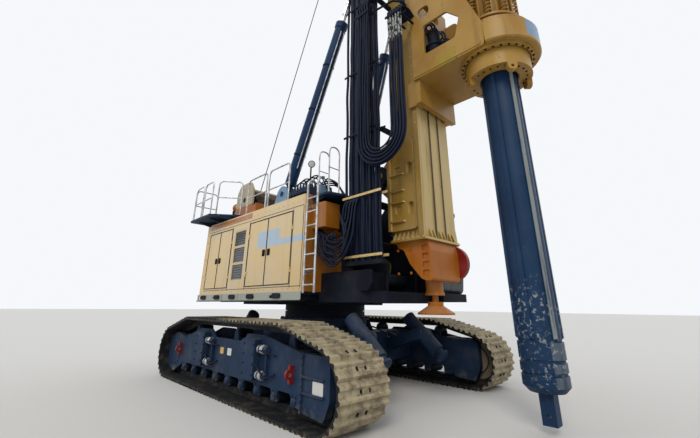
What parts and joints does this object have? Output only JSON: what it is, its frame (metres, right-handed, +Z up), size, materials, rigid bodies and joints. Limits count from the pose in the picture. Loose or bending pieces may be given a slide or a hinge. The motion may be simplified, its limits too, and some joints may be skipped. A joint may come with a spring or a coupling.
{
  "type": "rotary piling rig",
  "caption": "Rotary piling rig on tracks with a slewing house, luffing mast with backstay cylinders, sliding rotary head and telescopic kelly bar.",
  "frame": {"origin": "on the ground under the slewing centre, midway between the tracks", "axes": "+X to the front, +Y to the left, +Z up"},
  "size_m": [10.3284, 5.4, 20.88],
  "materials": {
    "slate_paint": "worn slate blue paint, dusty",
    "tan_paint": "faded orange-tan paint, dusty",
    "orange_paint": "orange paint",
    "yellow_paint": "dirty yellow paint with grey cement splashes",
    "black_paint": "black paint, greasy",
    "blue_steel": "dark blue paint, scuffed",
    "pale_blue": "pale blue-grey paint",
    "red_paint": "red paint, chalky",
    "track_steel": "bare steel with dried mud",
    "bare_steel": "bare steel",
    "rod_chrome": "hard chromed rod",
    "hose_rubber": "black hydraulic hose",
    "window_glass": "tinted glass",
    "seat_cloth": "dark cloth",
    "engine_iron": "grey cast iron"
  },
  "bodies": {
    "undercarriage": {"carbody": "slate_paint", "slew_ring": "black_paint", "side_frame_right": "slate_paint", "side_frame_left": "slate_paint", "track_right": "track_steel", "track_left": "track_steel", "rollers": "black_paint", "end_wheels": "track_steel", "tie_lugs": "red_paint"},
    "leg_fr": {"support_leg_fr": "slate_paint"},
    "leg_fl": {"support_leg_fl": "slate_paint"},
    "leg_rr": {"support_leg_rr": "slate_paint"},
    "leg_rl": {"support_leg_rl": "slate_paint"},
    "upper": {"deck": "slate_paint", "counterweight": "tan_paint", "engine_block": "engine_iron", "house": "tan_paint", "louvres": "black_paint", "cab_shell": "tan_paint", "cab_glass": "window_glass", "cab_seat": "seat_cloth", "front_frame": "black_paint", "walkway": "slate_paint", "railings": "bare_steel", "ladder": "bare_steel", "cooler": "orange_paint", "winch_frame": "tan_paint", "stay_brackets": "pale_blue"},
    "cab_door": {"cab_door": "tan_paint"},
    "winch": {"winch_drum": "black_paint"},
    "mast": {"mast_foot": "orange_paint", "mast_lower": "tan_paint", "mast_upper": "tan_paint", "mast_bracket": "tan_paint", "mast_head": "tan_paint", "hose_bundle": "hose_rubber"},
    "front_sheave": {"head_sheaves": "black_paint"},
    "rear_sheave": {"rear_head_sheave": "black_paint"},
    "foot_sheave": {"foot_sheave": "red_paint"},
    "foot_jack": {"foot_jack": "yellow_paint"},
    "barrel_right": {"stay_barrel_right": "blue_steel"},
    "barrel_left": {"stay_barrel_left": "blue_steel"},
    "rod_right": {"stay_rod_right": "rod_chrome"},
    "rod_left": {"stay_rod_left": "rod_chrome"},
    "rotary_head": {"head_sledge": "yellow_paint", "head_gearbox": "yellow_paint", "head_motors": "black_paint", "hose_loops": "hose_rubber"},
    "sleeve": {"drive_sleeve": "yellow_paint", "spring_pack": "orange_paint"},
    "guide": {"kelly_guide": "yellow_paint"},
    "kelly_tube": {"kelly_outer": "blue_steel"},
    "kelly_bar": {"kelly_inner": "blue_steel"},
    "door_right_rear": {"door_right_rear": "tan_paint"},
    "door_right_mid": {"door_right_mid": "tan_paint"},
    "door_right_fore": {"door_right_fore": "tan_paint"},
    "door_right_front": {"door_right_front": "tan_paint"},
    "door_left_rear": {"door_left_rear": "tan_paint"},
    "door_left_mid": {"door_left_mid": "tan_paint"},
    "door_left_front": {"door_left_front": "tan_paint"}
  },
  "joints": [
    {"name": "slew", "type": "hinge", "parent": "undercarriage", "child": "upper", "pos_m": [0, 0, 1.5], "axis": [0, 0, 1], "continuous": true},
    {"name": "luff", "type": "hinge", "parent": "upper", "child": "mast", "pos_m": [2.38, 0, 4.45], "axis": [0, 1, 0], "range_deg": [-15, 5]},
    {"name": "cab_door_hinge", "type": "hinge", "parent": "upper", "child": "cab_door", "pos_m": [1.67, 1.794, 3], "axis": [0, 0, 1], "range_deg": [0, 100]},
    {"name": "winch_turn", "type": "hinge", "parent": "upper", "child": "winch", "pos_m": [-2.59, -0.7, 4.78], "axis": [0, 1, 0], "continuous": true},
    {"name": "front_sheave_turn", "type": "hinge", "parent": "mast", "child": "front_sheave", "pos_m": [4.64, 0, 20.45], "axis": [0, 1, 0], "continuous": true},
    {"name": "rear_sheave_turn", "type": "hinge", "parent": "mast", "child": "rear_sheave", "pos_m": [2.79, 0, 20.45], "axis": [0, 1, 0], "continuous": true},
    {"name": "foot_sheave_turn", "type": "hinge", "parent": "mast", "child": "foot_sheave", "pos_m": [3.4, 0.55, 2.54], "axis": [0, 1, 0], "continuous": true},
    {"name": "foot_jack_slide", "type": "slide", "parent": "mast", "child": "foot_jack", "axis": [0, 0, -1], "range_m": [0, 1.5]},
    {"name": "head_crowd", "type": "slide", "parent": "mast", "child": "rotary_head", "axis": [0, 0, 1], "range_m": [-2.6, 6]},
    {"name": "guide_slide", "type": "slide", "parent": "mast", "child": "guide", "axis": [0, 0, 1], "range_m": [0, 3.5]},
    {"name": "kelly_turn", "type": "hinge", "parent": "guide", "child": "kelly_tube", "pos_m": [5.07, 0, 10], "axis": [0, 0, 1], "continuous": true},
    {"name": "sleeve_turn", "type": "hinge", "parent": "rotary_head", "child": "sleeve", "pos_m": [5.07, 0, 6.5], "axis": [0, 0, 1], "continuous": true},
    {"name": "kelly_extend", "type": "slide", "parent": "kelly_tube", "child": "kelly_bar", "axis": [0, 0, -1], "range_m": [0, 12]},
    {"name": "stay_right_turn", "type": "hinge", "parent": "upper", "child": "barrel_right", "pos_m": [-0.3, -1.2, 4.45], "axis": [0, 1, 0], "range_deg": [-13.68, 4.56]},
    {"name": "stay_right_slide", "type": "slide", "parent": "barrel_right", "child": "rod_right", "axis": [0.346, 0.0537, 0.9367], "range_m": [-0.676, 0.226]},
    {"name": "stay_left_turn", "type": "hinge", "parent": "upper", "child": "barrel_left", "pos_m": [-0.3, 1.2, 4.45], "axis": [0, 1, 0], "range_deg": [-13.68, 4.56]},
    {"name": "stay_left_slide", "type": "slide", "parent": "barrel_left", "child": "rod_left", "axis": [0.346, -0.0537, 0.9367], "range_m": [-0.676, 0.226]},
    {"name": "leg_fl_swing", "type": "hinge", "parent": "undercarriage", "child": "leg_fl", "pos_m": [2.28, 0.93, 1.12], "axis": [0, 1, 0], "range_deg": [0, 49]},
    {"name": "leg_fr_swing", "type": "hinge", "parent": "undercarriage", "child": "leg_fr", "pos_m": [2.28, -0.93, 1.12], "axis": [0, 1, 0], "range_deg": [0, 49]},
    {"name": "leg_rl_swing", "type": "hinge", "parent": "undercarriage", "child": "leg_rl", "pos_m": [-2.28, 0.93, 1.12], "axis": [0, -1, 0], "range_deg": [0, 49]},
    {"name": "leg_rr_swing", "type": "hinge", "parent": "undercarriage", "child": "leg_rr", "pos_m": [-2.28, -0.93, 1.12], "axis": [0, -1, 0], "range_deg": [0, 49]},
    {"name": "door_right_rear_hinge", "type": "hinge", "parent": "upper", "child": "door_right_rear", "pos_m": [-3.73, -1.664, 3], "axis": [0, 0, -1], "range_deg": [0, 95]},
    {"name": "door_right_mid_hinge", "type": "hinge", "parent": "upper", "child": "door_right_mid", "pos_m": [-2.25, -1.664, 3], "axis": [0, 0, 1], "range_deg": [0, 95]},
    {"name": "door_right_fore_hinge", "type": "hinge", "parent": "upper", "child": "door_right_fore", "pos_m": [-1.25, -1.664, 3], "axis": [0, 0, -1], "range_deg": [0, 95]},
    {"name": "door_right_front_hinge", "type": "hinge", "parent": "upper", "child": "door_right_front", "pos_m": [0.69, -1.664, 3], "axis": [0, 0, 1], "range_deg": [0, 95]},
    {"name": "door_left_rear_hinge", "type": "hinge", "parent": "upper", "child": "door_left_rear", "pos_m": [-3.73, 1.664, 3], "axis": [0, 0, 1], "range_deg": [0, 95]},
    {"name": "door_left_mid_hinge", "type": "hinge", "parent": "upper", "child": "door_left_mid", "pos_m": [-1.56, 1.664, 3], "axis": [0, 0, -1], "range_deg": [0, 95]},
    {"name": "door_left_front_hinge", "type": "hinge", "parent": "upper", "child": "door_left_front", "pos_m": [-1.3, 1.664, 3], "axis": [0, 0, 1], "range_deg": [0, 95]}
  ],
  "couplings": [
    {"joint": "sleeve_turn", "follows": "kelly_turn", "ratio": 1},
    {"joint": "stay_right_turn", "follows": "luff", "ratio": 0.911},
    {"joint": "stay_right_slide", "follows": "luff", "m_per_rad": 2.58},
    {"joint": "stay_left_turn", "follows": "luff", "ratio": 0.911},
    {"joint": "stay_left_slide", "follows": "luff", "m_per_rad": 2.58}
  ]
}
